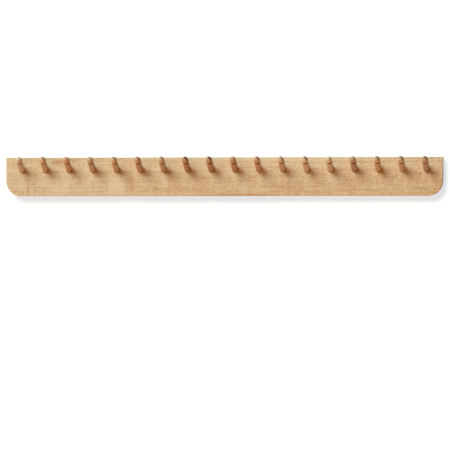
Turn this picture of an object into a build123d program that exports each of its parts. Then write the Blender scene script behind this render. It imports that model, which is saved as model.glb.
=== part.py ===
"""Shaker peg rail: a long plain board with a row of turned pegs set at an upward angle.

The board hangs flat on a wall by two steel keyhole plates let into its back. Millimetres, +X along
the rail, +Z up. The origin is the centre of the back face, and the front faces -Y.
"""
from build123d import *
from math import cos, radians, sin, tan
import os

os.makedirs("parts", exist_ok=True)

# Board
board_length = 1016.0
board_height = 89.0
board_thickness = 19.0
lower_corner_radius = 35.0
front_arris = 1.5  # rounding of the front edges

# Row of pegs
peg_count = 18
row_end_margin = 37.1  # from the end of the board to the axis of the first peg
row_drop = 27.3  # from the top edge to where a peg's axis leaves the front face
peg_tilt = 25.5  # degrees that the pegs point up from square to the board

# Turned peg: radii, and lengths along its axis
peg_reach = 59.0  # from the front face to the tip
seat_radius = 7.15  # flat shoulder that seats in the board
belly_radius = 7.4
belly_rise = 7.0  # from the shoulder to the widest part of the body
collar_radius = 6.8  # end of the tapered body, where the cove starts
belly_hold = 0.55  # share of the body's length for which its curve heads straight on from the belly
collar_hold = 0.2  # and for which it heads straight for the collar
neck_radius = 4.5  # middle of the cove
cove_width = 4.5
head_back_radius = 5.5
head_radius = 7.4
head_back_length = 2.0
dome_length = 14.0
tip_radius = 1.2  # small flat left at the tip
tenon_radius = 4.75
tenon_length = 11.0
tenon_chamfer = 0.8

# Sockets in the board
glue_clearance = 0.1  # around the tenon
glue_space = 1.0  # past the end of the tenon
pocket_clearance = 0.15  # around the body in its spot-faced pocket

# Keyhole plates
plate_height = 44.0
plate_width = 16.0
plate_thickness = 1.6
plate_top_margin = 12.0  # from the top edge of the board
plate_recess = 0.2  # below the back face, so that the board meets the wall
plate_clearance = 0.2  # around the plate in its rebate
keyhole_entry_radius = 4.75
keyhole_slot_width = 4.8
keyhole_travel = 11.0  # from the entry's centre to the slot's end
head_room_depth = 6.5  # routed behind the plate for the wall screw's head
head_room_clearance = 1.0  # around the entry

# Plate screws
screw_spacing = 33.0
screw_length = 12.7
screw_head_radius = 2.8
screw_head_rim = 0.15
screw_shank_radius = 1.45
screw_point_length = 3.0
screw_seat_clearance = 0.05  # between the head and its countersink, and the shank and the wood
plate_hole_radius = 1.7
cross_length = 3.0
cross_width = 0.7
cross_depth = 1.0

# Places worked out from the sizes above
peg_pitch = (board_length - 2 * row_end_margin) / (peg_count - 1)
first_peg_x = row_end_margin - board_length / 2
peg_places = [first_peg_x + i * peg_pitch for i in range(peg_count)]
row_z = board_height / 2 - row_drop
tilt = radians(peg_tilt)
peg_axis = Vector(0, -cos(tilt), sin(tilt))
peg_upward = Vector(0, sin(tilt), cos(tilt))  # square to the axis, the radius that points up
seat_depth = seat_radius * tan(tilt)  # along the axis, puts the shoulder's lowest point at the face
hanger_x = abs(first_peg_x + 1.5 * peg_pitch)  # midway between the second and third pegs
hanger_z = board_height / 2 - plate_top_margin - plate_height / 2


def seat_centre(x):
    """Centre of a peg's shoulder, seat_depth into the front face along the peg's axis."""
    return Vector(x, -board_thickness, row_z) - peg_axis * seat_depth


def seat_plane(x):
    """Plane of a peg's shoulder, facing out along the peg."""
    return Plane(origin=seat_centre(x), x_dir=(1, 0, 0), z_dir=peg_axis)


def back_plane(x, depth):
    """Plane a depth inside the back face, centred on a keyhole plate and facing the wall."""
    return Plane(origin=(x, -depth, hanger_z), x_dir=(-1, 0, 0), z_dir=(0, 1, 0))


def save(piece, name):
    """Name a finished piece and write it to its own file."""
    piece.part.label = name
    export_step(piece.part, f"parts/{name}.step")


def make_board():
    """Board with rounded lower corners, sockets for the pegs and recesses for the plates."""
    seats = [seat_plane(x) for x in peg_places]
    hangers = (-hanger_x, hanger_x)
    plate_floor = plate_recess + plate_thickness
    # a pocket is cut from its floor out past the front face at the upper side
    pocket_radius = belly_radius + pocket_clearance
    pocket_length = 2 * (seat_depth + pocket_radius * tan(tilt))
    with BuildPart() as board:
        with BuildSketch(Plane.XZ) as outline:
            Rectangle(board_length, board_height)
            fillet(outline.vertices().sort_by(Axis.Y)[:2], lower_corner_radius)
        extrude(amount=board_thickness)
        fillet(board.faces().sort_by(Axis.Y)[0].edges(), front_arris)
        with BuildSketch(*seats):
            Circle(pocket_radius)
        extrude(amount=pocket_length, mode=Mode.SUBTRACT)
        with BuildSketch(*seats):
            Circle(tenon_radius + glue_clearance)
        extrude(amount=-(tenon_length + glue_space), mode=Mode.SUBTRACT)
        with BuildSketch(*[back_plane(x, 0) for x in hangers]):
            SlotOverall(plate_height + 2 * plate_clearance, plate_width + 2 * plate_clearance, rotation=90)
        extrude(amount=-plate_floor, mode=Mode.SUBTRACT)
        with BuildSketch(*[back_plane(x, plate_floor) for x in hangers]):
            SlotCenterToCenter(
                keyhole_travel, 2 * (keyhole_entry_radius + head_room_clearance), rotation=90
            )
        extrude(amount=-head_room_depth, mode=Mode.SUBTRACT)
        with BuildSketch(*[back_plane(x, plate_floor) for x in hangers]):
            with GridLocations(0, screw_spacing, 1, 2):
                Circle(screw_shank_radius + screw_seat_clearance)
        extrude(amount=-(screw_length - plate_thickness + screw_seat_clearance), mode=Mode.SUBTRACT)
    return board


def make_peg(x):
    """One turned peg: tenon, shoulder, swelling body, cove and domed head, as a single revolve."""
    centre = seat_centre(x)
    tip = peg_reach + seat_depth
    rim = tip - dome_length
    head_start = rim - head_back_length
    cove_start = head_start - cove_width
    with BuildPart() as peg:
        with BuildSketch(Plane(origin=centre, x_dir=peg_upward, z_dir=(1, 0, 0))):
            with BuildLine():
                Polyline(
                    (tip_radius, tip),
                    (0, tip),
                    (0, -tenon_length),
                    (tenon_radius - tenon_chamfer, -tenon_length),
                    (tenon_radius, tenon_chamfer - tenon_length),
                    (tenon_radius, 0),
                    (seat_radius, 0),
                )
                EllipticalCenterArc(
                    (seat_radius, belly_rise), belly_radius - seat_radius, belly_rise, -90, arc_size=90
                )
                body_length = cove_start - belly_rise
                Bezier(
                    (belly_radius, belly_rise),
                    (belly_radius, belly_rise + belly_hold * body_length),
                    ((belly_radius + collar_radius) / 2, cove_start - collar_hold * body_length),
                    (collar_radius, cove_start),
                )
                ThreePointArc(
                    (collar_radius, cove_start),
                    (neck_radius, cove_start + cove_width / 2),
                    (head_back_radius, head_start),
                )
                EllipticalCenterArc(
                    (head_back_radius, rim),
                    head_radius - head_back_radius,
                    head_back_length,
                    -90,
                    arc_size=90,
                )
                EllipticalCenterArc(
                    (tip_radius, rim), head_radius - tip_radius, dome_length, 0, arc_size=90
                )
            make_face()
        revolve(axis=Axis(centre, peg_axis))
    return peg


def make_plate(x):
    """Steel plate with a keyhole between two countersunk screw holes."""
    outer = back_plane(x, plate_recess)
    with BuildPart() as plate:
        with BuildSketch(outer):
            SlotOverall(plate_height, plate_width, rotation=90)
            SlotCenterToCenter(keyhole_travel, keyhole_slot_width, rotation=90, mode=Mode.SUBTRACT)
            with Locations((0, -keyhole_travel / 2)):
                Circle(keyhole_entry_radius, mode=Mode.SUBTRACT)
        extrude(amount=-plate_thickness)
        with Locations(outer):
            with GridLocations(0, screw_spacing, 1, 2):
                # the head's rim sits below the plate's face, so its countersink starts that much wider
                CounterSinkHole(
                    plate_hole_radius,
                    screw_head_radius + screw_head_rim + 2 * screw_seat_clearance,
                    depth=plate_thickness,
                    counter_sink_angle=90,
                )
    return plate


def make_screw(x, side):
    """Countersunk wood screw with a cross recess; side is +1 above the keyhole and -1 below it."""
    z = hanger_z + side * screw_spacing / 2
    head_top = Vector(x, -plate_recess - screw_seat_clearance, z)
    cone_end = screw_head_rim + screw_head_radius - screw_shank_radius
    with BuildPart() as screw:
        with BuildSketch(Plane(origin=head_top, x_dir=(1, 0, 0), z_dir=(0, 0, 1))):
            with BuildLine():
                Polyline(
                    (0, 0),
                    (screw_head_radius, 0),
                    (screw_head_radius, -screw_head_rim),
                    (screw_shank_radius, -cone_end),
                    (screw_shank_radius, screw_point_length - screw_length),
                    (0, -screw_length),
                    close=True,
                )
            make_face()
        revolve(axis=Axis(head_top, (0, 1, 0)))
        with BuildSketch(Plane(origin=head_top, x_dir=(-1, 0, 0), z_dir=(0, 1, 0))):
            Rectangle(cross_length, cross_width)
            Rectangle(cross_width, cross_length)
        extrude(amount=-cross_depth, mode=Mode.SUBTRACT)
    return screw


save(make_board(), "rail_board")
for number, peg_x in enumerate(peg_places, start=1):
    save(make_peg(peg_x), f"peg_{number:02d}")
for side_name, plate_x in (("left", -hanger_x), ("right", hanger_x)):
    save(make_plate(plate_x), f"hanger_{side_name}")
    save(make_screw(plate_x, 1), f"hanger_screw_{side_name}_top")
    save(make_screw(plate_x, -1), f"hanger_screw_{side_name}_bottom")
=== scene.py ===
"""Finishes and studio for a Shaker peg rail: a long maple board with a row of turned beech pegs.

The packed CAD model is the frame. The board, the keyhole plates and their screws keep their CAD
shapes and get their finishes here. Each peg is turned again as a smooth surface, so that its grain
can follow its own axis. Sizes are in millimetres until they reach a mesh.
"""

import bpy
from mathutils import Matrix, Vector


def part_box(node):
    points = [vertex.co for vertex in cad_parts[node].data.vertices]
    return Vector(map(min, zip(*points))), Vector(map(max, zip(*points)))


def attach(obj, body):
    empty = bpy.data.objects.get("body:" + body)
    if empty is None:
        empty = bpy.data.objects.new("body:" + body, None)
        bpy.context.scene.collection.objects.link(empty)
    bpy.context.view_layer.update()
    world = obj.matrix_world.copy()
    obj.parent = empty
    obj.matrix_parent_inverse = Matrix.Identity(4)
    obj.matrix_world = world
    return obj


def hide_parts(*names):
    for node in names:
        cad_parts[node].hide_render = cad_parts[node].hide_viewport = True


bl_info = {
    "name": "Shaker peg rail",
    "version": (1, 0, 0),
    "blender": (4, 5, 0),
    "location": "3D View > Sidebar > Peg rail",
    "description": "Oiled maple rail with turned pegs, zinc-plated keyhole plates and a studio wall",
    "category": "Object",
}

from math import atan, cos, pi, radians, sin, tan

import bpy
import numpy as np
from bpy.props import FloatProperty, FloatVectorProperty, PointerProperty, StringProperty
from mathutils import Quaternion, Vector

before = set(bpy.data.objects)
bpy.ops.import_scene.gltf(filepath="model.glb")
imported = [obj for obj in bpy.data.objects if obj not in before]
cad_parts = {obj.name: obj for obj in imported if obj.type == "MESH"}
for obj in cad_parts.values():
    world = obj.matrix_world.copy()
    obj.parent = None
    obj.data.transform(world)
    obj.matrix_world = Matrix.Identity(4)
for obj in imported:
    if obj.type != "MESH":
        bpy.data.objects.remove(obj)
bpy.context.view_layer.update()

MM = 0.001
FRONT_FACE = -19  # the board's front face along Y, in mm
LOWER_CORNER = 35  # radius of the board's lower corners, in mm
MARK_DEPTH = 30  # how far a mark reaches into the wood, in mm
PEG_NODES = sorted(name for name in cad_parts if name.startswith("peg_"))


def linear(code):
    """An sRGB hex colour as the linear values that shaders take."""
    srgb = np.array([int(code[i : i + 2], 16) for i in (1, 3, 5)]) / 255
    return tuple(np.where(srgb > 0.04045, ((srgb + 0.055) / 1.055) ** 2.4, srgb / 12.92))


def colour(name, description, code):
    """A colour property with a hex default."""
    return FloatVectorProperty(
        name=name, description=description, subtype="COLOR", size=3, min=0, max=1, default=linear(code)
    )


def length(name, description, default):
    """A length property in millimetres."""
    return FloatProperty(name=name, description=description + ", in mm", default=default, min=0)


def angle(name, description, degrees):
    """An angle property with its default in degrees."""
    return FloatProperty(name=name, description=description, default=radians(degrees), subtype="ANGLE")


def share(name, description, default):
    """A property from 0 to 1."""
    return FloatProperty(
        name=name, description=description, default=default, min=0, max=1, subtype="FACTOR"
    )


class RailWood(bpy.types.PropertyGroup):
    """Oiled maple of the board."""

    pale: colour("Pale wood", "Wood between the growth rings", "#E4CDAA")
    honey: colour("Honey wood", "Middle tone of the oiled wood", "#D6B68D")
    late: colour("Late wood", "Darker lines where each growth ring ends", "#BF905D")
    mineral: colour("Mineral streak", "Brown stain in the wood", "#B67440")
    knot: colour("Pin knot", "Small dark knots", "#8A5028")
    ring_width: length("Ring width", "Width of one growth ring", 4.2)
    fibre_width: length("Fibre width", "Width of the fine streaks, as coarse as they need to show", 1.6)
    fibre_length: length("Fibre length", "Length of the fine streaks along the grain", 60.0)


class PegWood(bpy.types.PropertyGroup):
    """Oiled beech of the turned pegs."""

    pale: colour("Pale peg", "Palest tone among the pegs", "#D8BC9A")
    honey: colour("Honey peg", "Middle tone among the pegs", "#D0AC84")
    red: colour("Reddish peg", "Reddest tone among the pegs", "#C99B72")
    brown: colour("Brown peg", "Darkest tone among the pegs", "#BF8F66")
    grey: colour("Greyish peg", "Coolest tone among the pegs", "#BE9B7C")
    order: StringProperty(
        name="Order",
        description="Tone of each peg from left to right, by its first letter",
        default="phrhhrhbbbrhppghhg",
    )
    # each letter also sets how much painted shade darkens the dome's upper right side
    soak_and_shade_letters: StringProperty(
        name="Soaking",
        description="How much oil each dome took up from left to right: little, medium, well or deep",
        default="lmllmmmddlmmwllwww",
    )
    # also the tint of the painted shade on each dome's upper right side
    oiled: colour("Oiled end grain", "Tint of a dome that is full of oil", "#9C746C")
    # tint of the painted shade in the cove and at the foot
    cove_and_foot_shade_tint: colour("Gathered finish", "Tint where finish gathers in the cove and at the foot", "#86603F")
    ring_width: length("Ring width", "Width of one growth ring", 2.6)


class PegShape(bpy.types.PropertyGroup):
    """Sizes of one turned peg, along its axis from its shoulder."""

    tilt: angle("Tilt", "Upward angle of the pegs", 25.5)
    drop: length("Row drop", "From the board's top edge to the row of pegs", 27.3)
    reach: length("Reach", "From the board's face to the tip", 59.0)
    seat_radius: length("Seat radius", "Radius at the shoulder", 7.15)
    belly_radius: length("Belly radius", "Largest radius of the body", 7.4)
    belly_rise: length("Belly rise", "From the shoulder to the widest part of the body", 7.0)
    belly_hold: share("Belly hold", "Share of the body's length that its curve heads on from the belly", 0.55)
    collar_hold: share("Collar hold", "Share of the body's length that it heads for the collar", 0.2)
    collar_radius: length("Collar radius", "Radius where the body meets the cove", 6.8)
    neck_radius: length("Neck radius", "Radius at the bottom of the cove", 4.5)
    cove_width: length("Cove width", "Width of the cove", 4.5)
    head_back_radius: length("Head back radius", "Radius where the cove meets the head", 5.5)
    head_radius: length("Head radius", "Largest radius of the head", 7.4)
    head_back_length: length("Head back length", "From the cove to the widest part of the head", 2.0)
    dome_length: length("Dome length", "From the widest part of the head to the tip", 14.0)
    tip_radius: length("Tip radius", "Small flat left at the tip", 1.2)
    tenon_radius: length("Tenon radius", "Radius of the tenon", 4.75)
    tenon_length: length("Tenon length", "Length of the tenon", 11.0)
    tenon_chamfer: length("Tenon chamfer", "Chamfer at the end of the tenon", 0.8)


class PlateFinish(bpy.types.PropertyGroup):
    """Zinc-plated steel of the keyhole plates and their screws."""

    zinc: colour("Zinc", "Bright zinc plating on the plates", "#BFC3C6")
    screw: colour("Screw zinc", "Yellowish zinc plating on the screws", "#C9BC94")
    zinc_roughness: share("Zinc roughness", "Roughness of the plates", 0.38)
    screw_roughness: share("Screw roughness", "Roughness of the screws", 0.32)


class Studio(bpy.types.PropertyGroup):
    """Wall, lamps and camera."""

    distance: FloatProperty(name="Distance", description="Camera to the rail", default=12.0, unit="LENGTH")
    azimuth: angle("Azimuth", "Camera round the rail, to the right of square to it", 7.2)
    elevation: angle("Elevation", "Camera above the rail", -0.76)
    key: share("Key light", "Light of the key lamp on the wall, 1 is white", 0.78)
    key_tint: colour("Key tint", "Colour of the key lamp", "#E4FAFF")
    fill: share("Fill light", "Light of the fill lamp on the wall, 1 is white", 0.195)
    fill_tint: colour("Fill tint", "Colour of the fill lamp", "#FFC88A")
    back: share("Back light", "Light of the lamp on the rail's back, 1 is white", 0.75)
    ambient: share("Ambient light", "Light from all round, 1 is white", 0.09)
    ambient_tint: colour("Ambient tint", "Colour of the light from all round", "#FF8040")
    shown: colour("Wall as seen", "Share of the light that the camera sees on the wall", "#CDB09C")
    wash: colour("Wall wash", "Light added to the wall as the camera sees it", "#B9D3DD")
    wall: colour("Wall", "Paint of the wall", "#FFFFFF")


def add(tree, kind, inputs=(), stops=(), **settings):
    """Add one node.

    inputs gives its sockets as values or as outputs to link, and stops fills a colour ramp.
    """
    node = tree.nodes.new(kind)
    for name, value in settings.items():
        setattr(node, name, value)
    for key, value in dict(inputs).items():
        if isinstance(value, bpy.types.NodeSocket):
            tree.links.new(value, node.inputs[key])
        else:
            node.inputs[key].default_value = value
    if stops:
        ramp = node.color_ramp.elements
        while len(ramp) < len(stops):
            ramp.new(0.5)
        for element, (place, value) in zip(ramp, stops):
            element.position = place
            element.color = (value, value, value, 1) if isinstance(value, float) else (*value, 1)
    return node


def material(name):
    """A new material by name, with its node tree and its Principled shader."""
    made = bpy.data.materials.new(name)
    made.use_nodes = True
    return made, made.node_tree, made.node_tree.nodes["Principled BSDF"]


def object_place(tree):
    """Object coordinates in millimetres."""
    place = add(tree, "ShaderNodeTexCoord").outputs["Object"]
    return add(tree, "ShaderNodeVectorMath", {0: place, 1: (1 / MM,) * 3}, operation="MULTIPLY").outputs[0]


def stretched(tree, where, size, detail=2.0, roughness=0.5):
    """Noise whose features measure size, three lengths in mm."""
    squeezed = add(tree, "ShaderNodeMapping", {"Vector": where, "Scale": [1 / s for s in size]}).outputs[0]
    settings = {"Vector": squeezed, "Scale": 1.0, "Detail": detail, "Roughness": roughness}
    return add(tree, "ShaderNodeTexNoise", settings).outputs["Fac"]


def weighted(tree, start, *parts):
    """start plus the sum of each value times its weight, each value taken about its middle of 0.5."""
    total = start
    for value, weight in parts:
        part = add(tree, "ShaderNodeMath", {0: value, 1: weight, 2: -0.5 * weight}, operation="MULTIPLY_ADD")
        total = add(tree, "ShaderNodeMath", {0: part.outputs[0], 1: total}, operation="ADD").outputs[0]
    return total


def rings(tree, where, pith, width, wander):
    """Growth rings round a pith line along X: 0 in early wood, 1 at a ring's end.

    The distance from the pith, plus slow noise of wander millimetres, is cut into whole rings.
    """
    across_ring = [(0.0, 0.15), (0.12, 0.0), (0.62, 0.25), (0.93, 1.0), (1.0, 0.15)]
    from_pith = {0: where, 1: (0, 1, 1), 2: (0, -pith[0], -pith[1])}
    off_axis = add(tree, "ShaderNodeVectorMath", from_pith, operation="MULTIPLY_ADD")
    radius = add(tree, "ShaderNodeVectorMath", {0: off_axis.outputs[0]}, operation="LENGTH").outputs["Value"]
    slow = stretched(tree, where, (240, 55, 55), detail=1.0)
    moved = weighted(tree, radius, (slow, wander))
    count = add(tree, "ShaderNodeMath", {0: moved, 1: 1 / width}, operation="MULTIPLY").outputs[0]
    phase = add(tree, "ShaderNodeMath", {0: count}, operation="FRACT").outputs[0]
    return add(tree, "ShaderNodeValToRGB", {"Fac": phase}, stops=across_ring).outputs["Color"]


def spot(tree, where, centre, reach, edge):
    """1 at centre, falling to 0 at reach, an ellipsoid's three half lengths in mm.

    edge is a value that makes the outline uneven, since it is added to the distance from the centre.
    """
    unevenness = 1.1
    scale = {0: where, 1: [1 / r for r in reach], 2: [-c / r for c, r in zip(centre, reach)]}
    scaled = add(tree, "ShaderNodeVectorMath", scale, operation="MULTIPLY_ADD")
    away = add(tree, "ShaderNodeVectorMath", {0: scaled.outputs[0]}, operation="LENGTH").outputs["Value"]
    fall = {"Value": weighted(tree, away, (edge, unevenness)), "From Min": 1.0, "From Max": 0.1}
    return add(tree, "ShaderNodeMapRange", fall, interpolation_type="SMOOTHSTEP").outputs["Result"]


def mixed(tree, factor, first, second, blend="MIX"):
    """Colour output of a mix of two colours."""
    pick = {0: factor, 6: first, 7: second}
    return add(tree, "ShaderNodeMix", pick, data_type="RGBA", blend_type=blend).outputs[2]


def tinted(tree, base, tint):
    """base times tint."""
    return mixed(tree, 1.0, base, tint, "MULTIPLY")


def shown_directly(tree):
    """1 for rays from the camera, a reflection or a refraction, which see the white background."""
    path = add(tree, "ShaderNodeLightPath").outputs
    seen = path["Is Camera Ray"]
    for ray in ("Is Glossy Ray", "Is Transmission Ray"):
        seen = add(tree, "ShaderNodeMath", {0: seen, 1: path[ray]}, operation="MAXIMUM").outputs[0]
    return seen


# marks on the board's face: colour, middle and half lengths along X and Z in mm, and strength
MARKS = (
    ("mineral", (-388, 34), (24, 10), 0.6),
    ("mineral", (-352, 37), (34, 6), 0.4),
    ("knot", (-461.9, -7.5), (3.6, 3), 0.6),
    ("knot", (-444.2, -17.9), (2.8, 4), 0.6),
    ("mineral", (-456, -30), (6, 24), 0.4),
    ("mineral", (-441, -30), (4, 20), 0.3),
    ("pale", (-385, -24), (34, 26), 0.6),
    ("pale", (-250, -24), (34, 34), 0.7),
    ("pale", (100, 39.5), (420, 5), 0.7),
    ("mineral", (-215, -16), (16, 34), 0.25),
    ("mineral", (156, -23.4), (110, 2.4), 0.4),
    ("mineral", (450, -25), (50, 2.4), 0.4),
    ("mineral", (40, -43.6), (150, 5), 0.5),
)


def oiled_maple(wood):
    """Oiled hard maple, planed and sanded, with the low sheen that oil leaves.

    It is pale and even, with faint ring lines along the board, fine streaks and flecks, a soft
    mottle where the fibres wave, a little brown mineral stain and two pin knots. The board is cut
    nearer to the sapwood at its lower left, which is paler.
    """
    made, tree, shader = material("oiled maple")
    where = object_place(tree)
    fibre_size = (wood.fibre_length, wood.fibre_width, wood.fibre_width)
    fibre = stretched(tree, where, fibre_size, detail=3.0, roughness=0.6)
    hair = stretched(tree, where, (25, 0.5, 0.5))
    streak = stretched(tree, where, (220, 9, 4.5))
    fleck = stretched(tree, where, (5, 8, 3))
    curl = stretched(tree, where, (8, 40, 40))
    patch = stretched(tree, where, (70, 90, 70))
    ring = rings(tree, where, pith=(92, -14), width=wood.ring_width, wander=9.0)
    split = add(tree, "ShaderNodeSeparateXYZ", {0: where}).outputs
    # low rises down the board from 0.2 to 1, and left counts metres from the board's middle
    downward = {"Value": split[2], "From Min": 30.0, "From Max": -20.0, "To Min": 0.2}
    low = add(tree, "ShaderNodeMapRange", downward).outputs["Result"]
    left = add(tree, "ShaderNodeMath", {0: split[0], 1: -MM}, operation="MULTIPLY").outputs[0]
    low_left = add(tree, "ShaderNodeMath", {0: left, 1: low, 2: 0.5}, operation="MULTIPLY_ADD").outputs[0]
    tone = weighted(
        tree,
        0.5,
        (fibre, 0.7),
        (hair, 0.5),
        (streak, 0.6),
        (fleck, 1.1),
        (curl, 0.45),
        (patch, 0.2),
        (low_left, 0.26),
        (low, -0.12),
        (ring, -0.16),
    )
    tones = [(0.0, tuple(wood.late)), (0.5, tuple(wood.honey)), (1.0, tuple(wood.pale))]
    base = add(tree, "ShaderNodeValToRGB", {"Fac": tone}, stops=tones).outputs["Color"]
    for mark, (x, z), (half_x, half_z), strength in MARKS:
        mask = spot(tree, where, (x, FRONT_FACE, z), (half_x, MARK_DEPTH, half_z), fibre)
        cover = add(tree, "ShaderNodeMath", {0: mask, 1: strength}, operation="MULTIPLY").outputs[0]
        base = mixed(tree, cover, base, (*getattr(wood, mark), 1))
    tree.links.new(base, shader.inputs["Base Color"])
    shader.inputs["Roughness"].default_value = 0.55
    shader.inputs["Specular IOR Level"].default_value = 0.15
    bump = add(tree, "ShaderNodeBump", {"Height": fibre, "Strength": 0.25, "Distance": 0.1 * MM})
    tree.links.new(bump.outputs[0], shader.inputs["Normal"])
    return made


def turned_beech(wood):
    """Oiled beech, turned and sanded to a soft sheen.

    Short flecks and streaks run along each peg's own axis, and its ring lines close into ovals on
    the dome. One attribute darkens the dome's oiled end grain on its upper right side, partly as
    painted shade, and another is painted shade in the cove and at the foot.
    """
    made, tree, shader = material("turned oiled beech")
    where = add(tree, "ShaderNodeAttribute", attribute_name="grain").outputs["Vector"]
    stain = add(tree, "ShaderNodeAttribute", attribute_name="stain").outputs["Color"]
    soak_and_shade = add(tree, "ShaderNodeAttribute", attribute_name="soak_and_shade").outputs["Fac"]
    cove_and_foot_shade = add(tree, "ShaderNodeAttribute", attribute_name="cove_and_foot_shade").outputs["Fac"]
    fibre = stretched(tree, where, (14, 1.1, 1.1), detail=2.0)
    streak = stretched(tree, where, (60, 2.6, 2.6))
    ring = rings(tree, where, pith=(0, 0), width=wood.ring_width, wander=3.0)
    shade = weighted(tree, 0.5, (fibre, 0.6), (streak, 1.0), (ring, -0.45))
    dark_to_light = [(0.0, 0.62), (0.5, 0.93), (1.0, 1.0)]
    tint = add(tree, "ShaderNodeValToRGB", {"Fac": shade}, stops=dark_to_light).outputs["Color"]
    base = tinted(tree, stain, tint)
    # the dome's oiled end grain, darker on its upper right side, which is partly painted shade
    base = mixed(tree, soak_and_shade, base, tinted(tree, base, (*wood.oiled, 1)))
    # painted shade in the cove and at the foot
    base = mixed(tree, cove_and_foot_shade, base, tinted(tree, base, (*wood.cove_and_foot_shade_tint, 1)))
    tree.links.new(base, shader.inputs["Base Color"])
    shader.inputs["Roughness"].default_value = 0.42
    shader.inputs["Specular IOR Level"].default_value = 0.2
    bump = add(tree, "ShaderNodeBump", {"Height": fibre, "Strength": 0.2, "Distance": 0.1 * MM})
    tree.links.new(bump.outputs[0], shader.inputs["Normal"])
    return made


def zinc_plate(name, tone, roughness):
    """Zinc-plated steel, stamped or cold-headed: a bright grey metal with a faint crystalline mottle."""
    made, tree, shader = material(name)
    where = object_place(tree)
    mottle = stretched(tree, where, (1.8, 1.8, 1.8), detail=3.0)
    grey_to_bright = [(0.3, 0.78), (0.7, 1.0)]
    tint = add(tree, "ShaderNodeValToRGB", {"Fac": mottle}, stops=grey_to_bright).outputs["Color"]
    tree.links.new(tinted(tree, (*tone, 1), tint), shader.inputs["Base Color"])
    rough = weighted(tree, roughness, (mottle, 0.2))
    tree.links.new(rough, shader.inputs["Roughness"])
    shader.inputs["Metallic"].default_value = 1.0
    return made


def peg_profile(peg):
    """Length along the axis and radius, as arrays, from the end of the tenon to the tip.

    The body is a quarter ellipse and a Bezier curve, the cove an arc through three points, and the
    head a quarter ellipse back and a quarter ellipse dome. It is the outline of the CAD peg.
    """
    tip = peg.reach + peg.seat_radius * tan(peg.tilt)
    rim = tip - peg.dome_length
    head_start = rim - peg.head_back_length
    cove_start = head_start - peg.cove_width
    body = cove_start - peg.belly_rise
    shank_end, chamfer_end = -peg.tenon_length, peg.tenon_chamfer - peg.tenon_length
    tenon = np.array(
        [
            (shank_end, 0),
            (shank_end, peg.tenon_radius - peg.tenon_chamfer),
            (chamfer_end, peg.tenon_radius),
            (0, peg.tenon_radius),
        ]
    )
    quarter = np.linspace(0, pi / 2, 17)
    swell_out = peg.belly_radius - peg.seat_radius
    swell = np.stack(
        [peg.belly_rise * (1 - np.cos(quarter)), peg.seat_radius + swell_out * np.sin(quarter)], 1
    )
    bend = [
        (peg.belly_rise, peg.belly_radius),
        (peg.belly_rise + peg.belly_hold * body, peg.belly_radius),
        (cove_start - peg.collar_hold * body, (peg.belly_radius + peg.collar_radius) / 2),
        (cove_start, peg.collar_radius),
    ]
    t = np.linspace(0, 1, 25)[1:, None]
    weights = [(1 - t) ** 3, 3 * t * (1 - t) ** 2, 3 * t * t * (1 - t), t**3]
    taper = sum(np.array(place) * weight for place, weight in zip(bend, weights))
    collar = (cove_start, peg.collar_radius)
    neck = (cove_start + peg.cove_width / 2, peg.neck_radius)
    cove = arc_through(collar, neck, (head_start, peg.head_back_radius), 17)[1:]
    flare = peg.head_radius - peg.head_back_radius
    back = np.stack(
        [rim - peg.head_back_length * np.cos(quarter), peg.head_back_radius + flare * np.sin(quarter)], 1
    )[1:]
    turn = np.linspace(0, pi / 2, 33)[1:]
    closing = peg.head_radius - peg.tip_radius
    dome = np.stack([rim + peg.dome_length * np.sin(turn), peg.tip_radius + closing * np.cos(turn)], 1)
    point = np.array([[tip, 0]])
    return np.concatenate([tenon, swell, taper, cove, back, dome, point])


def arc_through(start, middle, end, count):
    """Points on the circle through three points: the centre is where two perpendicular bisectors meet."""
    a, b, c = (np.array(p, float) for p in (start, middle, end))
    centre = np.linalg.solve(np.array([b - a, c - b]) * 2, np.array([b @ b - a @ a, c @ c - b @ b]))
    angles = np.unwrap([np.arctan2(*(p - centre)[::-1]) for p in (a, b, c)])
    turn = np.linspace(angles[0], angles[2], count)
    return centre + np.hypot(*(a - centre)) * np.stack([np.cos(turn), np.sin(turn)], 1)


def lathe(name, profile, centre, axis, turns=72):
    """Closed surface of revolution, and its points in mm.

    A point is centre + axis * along + radius * (cos angle * across + sin angle * upward). The first
    and last points of the profile lie on the axis and become single vertices.
    """
    across = np.array([1.0, 0.0, 0.0])
    upward = np.cross(axis, across)
    along, radius = profile[1:-1].T
    angle = np.arange(turns) * 2 * pi / turns
    around = np.cos(angle)[:, None] * across + np.sin(angle)[:, None] * upward
    grid = centre + along[:, None, None] * axis + radius[:, None, None] * around
    ends = centre + profile[[0, -1], :1] * axis
    points = np.concatenate([grid.reshape(-1, 3), ends]) * MM
    ring = np.arange(turns)
    after = (ring + 1) % turns
    rows = (np.arange(len(along) - 1) * turns)[:, None]
    corners = [rows + ring, rows + after, rows + turns + after, rows + turns + ring]
    quads = np.stack(corners, -1).reshape(-1, 4)
    last = (len(along) - 1) * turns
    start_fan = np.stack([after, ring, np.full(turns, len(points) - 2)], 1)
    end_fan = np.stack([last + ring, last + after, np.full(turns, len(points) - 1)], 1)
    mesh = bpy.data.meshes.new(name)
    mesh.from_pydata(points, [], [*quads.tolist(), *start_fan.tolist(), *end_fan.tolist()])
    mesh.shade_smooth()
    made = bpy.data.objects.new(name, mesh)
    bpy.context.scene.collection.objects.link(made)
    return made, points / MM


def store(mesh, name, kind, values):
    """Keep one value for each vertex under a name that a material reads."""
    field = {"FLOAT": "value", "FLOAT_VECTOR": "vector", "FLOAT_COLOR": "color"}[kind]
    layer = mesh.attributes.new(name, kind, "POINT")
    layer.data.foreach_set(field, np.ascontiguousarray(values, dtype=np.float32).ravel())


def finish_node(name, finish):
    """Give a CAD node its finish."""
    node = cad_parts[name]
    node.data.materials.clear()
    node.data.materials.append(finish)


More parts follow.
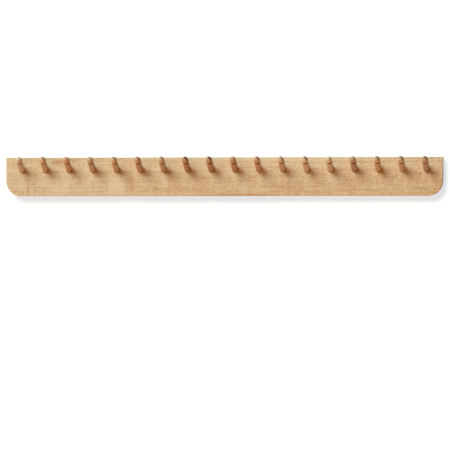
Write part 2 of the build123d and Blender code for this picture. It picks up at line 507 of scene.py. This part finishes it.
class RAIL_OT_board(bpy.types.Operator):
    """Finish the board in oiled maple"""

    bl_idname = "peg_rail.board"
    bl_label = "Board"

    def execute(self, context):
        finish_node("rail_board", oiled_maple(context.scene.rail_wood))
        return {"FINISHED"}


def plank_place(local, chance):
    """Points of a peg as places in the plank that it was cut from, where the grain runs along X.

    The peg is turned about its own axis, shifted along the grain and set off from the pith, which
    lies on X, all by chance.
    """
    spin = chance.uniform(0, 2 * pi)
    # three numbers are drawn, and the first is used
    along_grain = chance.uniform(-200, 200, 3)[0]
    from_pith = chance.uniform(8, 40)
    across = local[:, 1:] @ np.array([[cos(spin), sin(spin)], [-sin(spin), cos(spin)]])
    return np.column_stack([local[:, 0] + along_grain, across + [from_pith, 0]])


class RAIL_OT_pegs(bpy.types.Operator):
    """Turn the pegs and finish each in its own piece of beech"""

    bl_idname = "peg_rail.pegs"
    bl_label = "Pegs"

    def execute(self, context):
        peg, wood = context.scene.peg_shape, context.scene.peg_wood
        board_low, board_high = (np.array(corner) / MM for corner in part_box("rail_board"))
        axis = np.array([0, -cos(peg.tilt), sin(peg.tilt)])
        upward = np.array([0, sin(peg.tilt), cos(peg.tilt)])
        profile = peg_profile(peg)
        tip, half_cove = profile[-1, 0], peg.cove_width / 2
        cove_middle = tip - peg.dome_length - peg.head_back_length - half_cove
        finish = turned_beech(wood)
        names = ("pale", "honey", "red", "brown", "grey")
        tones = {name[0]: np.array([*getattr(wood, name), 1]) for name in names}
        # the dome is painted paler than the rest, a painted sheen on it: over how many millimetres
        # from its rim that begins, and how much it adds to red, green and blue
        dome_start, dome_sheen = 3, [0.16, 0.18, 0.19, 0]
        # the dome's oiled end grain is darker, painted only on its upper right side and partly painted
        # shade: the most darkening, and how far a side has to face that way before it darkens at all
        dome_shade_strength = {"l": (0.3, 0.37), "m": (0.7, 0.13), "w": (0.85, 0.0), "d": (1.0, -0.05)}
        # the painted shade's direction, and how much further a side has to face it to get the most
        shaded_side, rise = 0.45 * axis + 0.7 * upward + [0.55, 0, 0], 0.4
        # painted shade in the cove, all of it from halfway down, and less of it over the foot, where the peg
        # meets the board
        foot_shade, foot_length = 0.5, 8
        chance = np.random.default_rng(18)
        for node, letter, depth in zip(PEG_NODES, wood.order, wood.soak_and_shade_letters):
            low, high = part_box(node)
            middle = (low.x + high.x) / 2 / MM
            on_face = np.array([middle, board_low[1], board_high[2] - peg.drop])
            seat = on_face - axis * peg.seat_radius * tan(peg.tilt)
            made, points = lathe(f"turned_{node}", profile, seat, axis)
            made.data.materials.append(finish)
            local = (points - seat) @ np.stack([axis, upward, [1, 0, 0]], 1)
            along = local[:, 0]
            store(made.data, "grain", "FLOAT_VECTOR", plank_place(local, chance))
            on_dome = np.clip((along - tip + peg.dome_length) / dome_start, 0, 1)
            # each peg's tone, with the painted sheen on its dome
            paler = 1 + chance.uniform(-0.05, 0.05) + on_dome[:, None] * dome_sheen
            store(made.data, "stain", "FLOAT_COLOR", tones[letter] * paler)
            made.data.update()
            normals = np.empty(len(points) * 3, dtype=np.float32)
            made.data.vertex_normals.foreach_get("vector", normals)
            facing = normals.reshape(-1, 3) @ shaded_side
            most, start = dome_shade_strength[depth]
            # darker end grain on the dome, only on its upper right side, partly painted shade
            soak_and_shade = most * on_dome * np.clip((facing - start) / rise, 0, 1)
            store(made.data, "soak_and_shade", "FLOAT", soak_and_shade)
            radius = np.hypot(local[:, 1], local[:, 2])
            in_cove = (along > cove_middle - half_cove) & (along < cove_middle + half_cove)
            hollowness = (peg.collar_radius - radius) / (peg.collar_radius - peg.neck_radius)
            foot = foot_shade * np.clip(1 - along / foot_length, 0, 1)
            # painted shade: full in the cove, weaker over the foot
            cove_and_foot_shade = np.where(in_cove, np.clip(2 * hollowness, 0, 1), foot)
            store(made.data, "cove_and_foot_shade", "FLOAT", cove_and_foot_shade)
            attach(made, "root")
            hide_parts(node)
        return {"FINISHED"}


class RAIL_OT_plates(bpy.types.Operator):
    """Finish the keyhole plates and their screws in zinc"""

    bl_idname = "peg_rail.plates"
    bl_label = "Keyhole plates and screws"

    def execute(self, context):
        finish = context.scene.plate_finish
        plate = zinc_plate("zinc-plated steel", finish.zinc, finish.zinc_roughness)
        screw = zinc_plate("yellow zinc-plated steel", finish.screw, finish.screw_roughness)
        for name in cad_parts:
            if name.startswith("hanger_screw"):
                finish_node(name, screw)
            elif name.startswith("hanger"):
                finish_node(name, plate)
        return {"FINISHED"}


def rounded_outline(half_length, half_height, low_radius, high_radius, steps=12):
    """Points and outward normals round a board with its own corner radius below and above.

    Each corner is middle + radius * (cos turn, sin turn) over a quarter turn.
    """
    corners = [(1, 1, high_radius), (-1, 1, high_radius), (-1, -1, low_radius), (1, -1, low_radius)]
    quarter = np.linspace(0, pi / 2, steps)
    turn = np.concatenate([quarter + i * pi / 2 for i in range(4)])
    normals = np.stack([np.cos(turn), np.sin(turn)], 1)
    middles = [(sx * (half_length - r), sz * (half_height - r)) for sx, sz, r in corners]
    radii = [r for *_, r in corners]
    points = np.repeat(middles, steps, 0) + np.repeat(radii, steps)[:, None] * normals
    return points, normals


class RAIL_OT_studio(bpy.types.Operator):
    """Set up the wall, the lamps and the camera"""

    bl_idname = "peg_rail.studio"
    bl_label = "Studio"

    def execute(self, context):
        scene, studio = context.scene, context.scene.studio
        self.wall(scene, studio)
        self.light(scene, studio)
        self.camera(scene, studio)
        return {"FINISHED"}

    def wall(self, scene, studio):
        """White wall just behind the rail, seen from the front only.

        It is open where the board hides it, so that light also reaches the rail's back.
        """
        inset, upper_corner, reach, gap = 1, 1, 5000, 0.1
        low, high = (np.array(corner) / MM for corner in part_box("rail_board"))
        half_length, _, half_height = (high - low) / 2 - inset
        inner, normals = rounded_outline(half_length, half_height, LOWER_CORNER - inset, upper_corner)
        flat = np.concatenate([inner, inner + normals * reach])
        points = np.column_stack([flat[:, 0], np.full(len(flat), gap), flat[:, 1]]) * MM
        count = len(inner)
        k = np.arange(count)
        after = (k + 1) % count
        mesh = bpy.data.meshes.new("wall")
        mesh.from_pydata(points, [], np.stack([k, k + count, after + count, after], 1).tolist())
        wall = bpy.data.objects.new("wall", mesh)
        scene.collection.objects.link(wall)
        made, tree, shader = material("white wall paint")
        mesh.materials.append(made)
        shader.inputs["Base Color"].default_value = (*studio.wall, 1)
        shader.inputs["Roughness"].default_value = 1.0
        # seen directly, the paint is washed out by white, so that shadows on it stay faint
        pale = add(tree, "ShaderNodeBsdfDiffuse", {"Color": (*studio.shown, 1)})
        white = add(tree, "ShaderNodeEmission", {"Color": (*studio.wash, 1)})
        washed = add(tree, "ShaderNodeAddShader", {0: pale.outputs[0], 1: white.outputs[0]}).outputs[0]
        sides = {0: shown_directly(tree), 1: shader.outputs[0], 2: washed}
        front = add(tree, "ShaderNodeMixShader", sides).outputs[0]
        clear = add(tree, "ShaderNodeBsdfTransparent").outputs[0]
        behind = add(tree, "ShaderNodeNewGeometry").outputs["Backfacing"]
        both = add(tree, "ShaderNodeMixShader", {0: behind, 1: front, 2: clear}).outputs[0]
        tree.links.new(both, tree.nodes["Material Output"].inputs["Surface"])

    def light(self, scene, studio):
        """A key lamp, a warm fill, a lamp on the rail's back and a little light from all round.

        The key comes from the upper left. The fill is broad and comes from the lower left.
        """
        # each lamp's heading, the light it gives a wall square to Y, its tint and its width in degrees
        for name, way, light, tint, spread in (
            ("key", (0.52, 1.0, -0.84), studio.key, studio.key_tint, 28),
            ("fill", (0.3, 0.3, 0.88), studio.fill, studio.fill_tint, 110),
            ("back_key", (0.3, -1.0, -0.7), studio.back, (1, 1, 1), 24),
        ):
            heading = Vector(way).normalized()
            lamp = bpy.data.lights.new(name, "SUN")
            # such a wall gets the lamp's strength times the heading's share along Y
            lamp.energy = pi * light / abs(heading.y)
            lamp.color = tint
            lamp.angle = radians(spread)
            made = bpy.data.objects.new(name, lamp)
            made.rotation_euler = heading.to_track_quat("-Z", "Y").to_euler()
            scene.collection.objects.link(made)
        world = bpy.data.worlds.new("studio")
        scene.world = world
        world.use_nodes = True
        tree = world.node_tree
        seen = shown_directly(tree)
        strength = add(tree, "ShaderNodeMapRange", {"Value": seen, "To Min": studio.ambient, "To Max": 1.0})
        tint = mixed(tree, seen, (*studio.ambient_tint, 1), (1, 1, 1, 1))
        sky = tree.nodes["Background"]
        tree.links.new(tint, sky.inputs["Color"])
        tree.links.new(strength.outputs["Result"], sky.inputs["Strength"])

    def camera(self, scene, studio):
        """Long lens from a little to the right and below, with the rail high in the frame."""
        # the picture's scale and side, and where the rail's centre lies from its upper left corner
        pixels_per_mm, side = 0.4323, 450
        centre_at = (224.3, 176.72)
        focal = pixels_per_mm / MM * studio.distance
        lens = bpy.data.cameras.new("camera")
        lens.sensor_width = 36
        lens.lens = focal / side * lens.sensor_width
        made = bpy.data.objects.new("camera", lens)
        scene.collection.objects.link(made)
        scene.camera = made
        a, e = studio.azimuth, studio.elevation
        back = Vector((sin(a) * cos(e), -cos(a) * cos(e), sin(e)))
        made.location = back * studio.distance
        made.rotation_mode = "QUATERNION"
        right = atan((centre_at[0] - side / 2) / focal)
        up = atan((side / 2 - centre_at[1]) / focal)
        aim = (-back).to_track_quat("-Z", "Y")
        made.rotation_quaternion = aim @ Quaternion((1, 0, 0), -up) @ Quaternion((0, 1, 0), right)
        scene.view_settings.view_transform = "Standard"


class RAIL_PT_panel(bpy.types.Panel):
    """Sizes, colours and steps of the peg rail"""

    bl_label = "Peg rail"
    bl_idname = "RAIL_PT_panel"
    bl_space_type = "VIEW_3D"
    bl_region_type = "UI"
    bl_category = "Peg rail"

    def draw(self, context):
        for name, group in GROUPS.items():
            box = self.layout.box()
            box.label(text=group.__doc__)
            for field in group.__annotations__:
                box.prop(getattr(context.scene, name), field)
        for step in STEPS:
            self.layout.operator(step.bl_idname)


GROUPS = {
    "rail_wood": RailWood,
    "peg_wood": PegWood,
    "peg_shape": PegShape,
    "plate_finish": PlateFinish,
    "studio": Studio,
}
STEPS = (RAIL_OT_board, RAIL_OT_pegs, RAIL_OT_plates, RAIL_OT_studio)


def register():
    """Add the classes, and each group of values to the scene."""
    for cls in (*GROUPS.values(), *STEPS, RAIL_PT_panel):
        bpy.utils.register_class(cls)
    for name, group in GROUPS.items():
        setattr(bpy.types.Scene, name, PointerProperty(type=group))


def unregister():
    """Take away what register added."""
    for name in GROUPS:
        delattr(bpy.types.Scene, name)
    for cls in (RAIL_PT_panel, *reversed(STEPS), *reversed(GROUPS.values())):
        bpy.utils.unregister_class(cls)


def main():
    """Run every step."""
    register()
    bpy.ops.peg_rail.board()
    bpy.ops.peg_rail.pegs()
    bpy.ops.peg_rail.plates()
    bpy.ops.peg_rail.studio()


if __name__ == "__main__":
    main()
